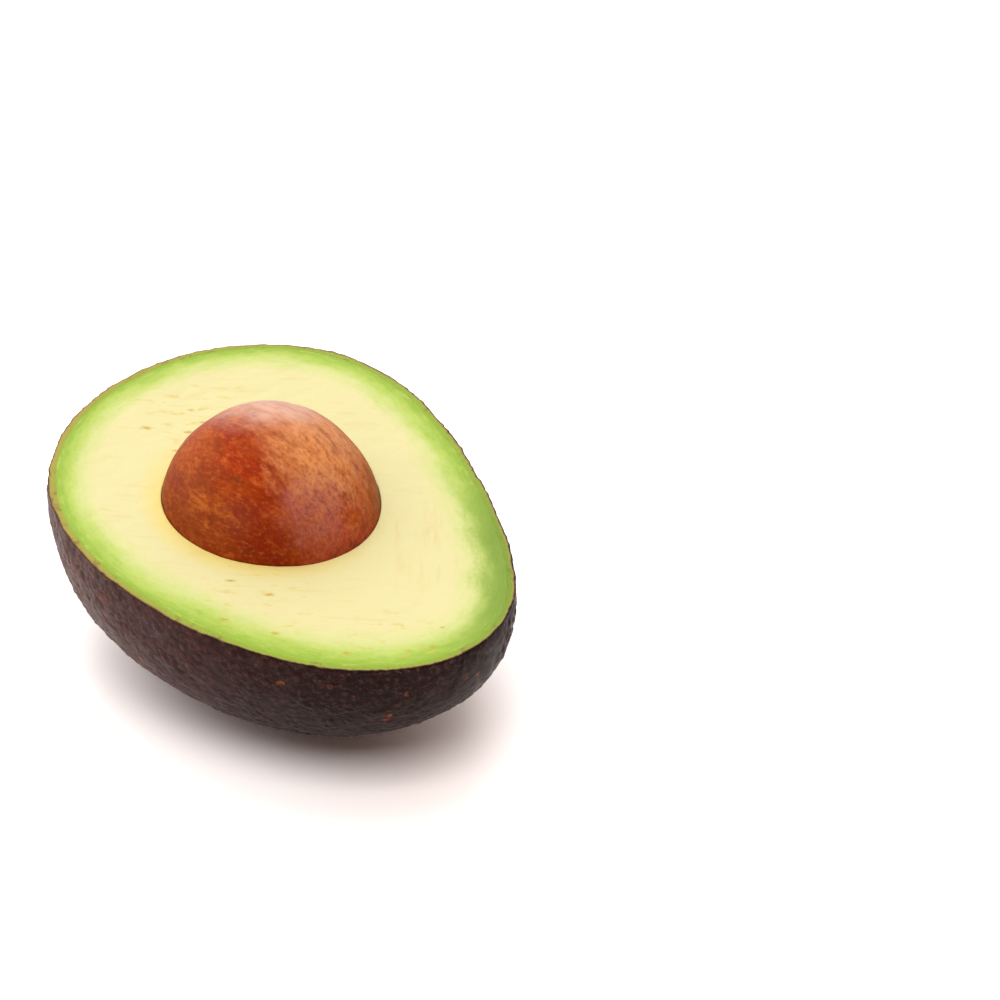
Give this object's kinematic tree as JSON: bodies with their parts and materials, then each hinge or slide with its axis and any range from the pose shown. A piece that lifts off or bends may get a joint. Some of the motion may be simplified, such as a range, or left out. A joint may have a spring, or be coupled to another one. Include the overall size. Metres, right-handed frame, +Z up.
{
  "type": "avocado half with seed",
  "caption": "Half of a ripe dark-skinned avocado lying on its pebbled peel, cut face up, with pale green flesh and a round brown seed in its hollow.",
  "frame": {"origin": "middle of the flat spot on the peel that the half rests on", "axes": "+Z up as the half lies; +X along the fruit as seen from above, from the blossom end to the narrow stem end; +Y across it. The cut face leans 9 degrees from level, down towards +X and -Y."},
  "size_m": [0.0959, 0.0728, 0.0515],
  "materials": {
    "peel": "satin",
    "flesh": "satin",
    "seed": "satin"
  },
  "bodies": {
    "root": {"peel": "peel", "flesh": "flesh", "seed": "seed"}
  },
  "joints": []
}
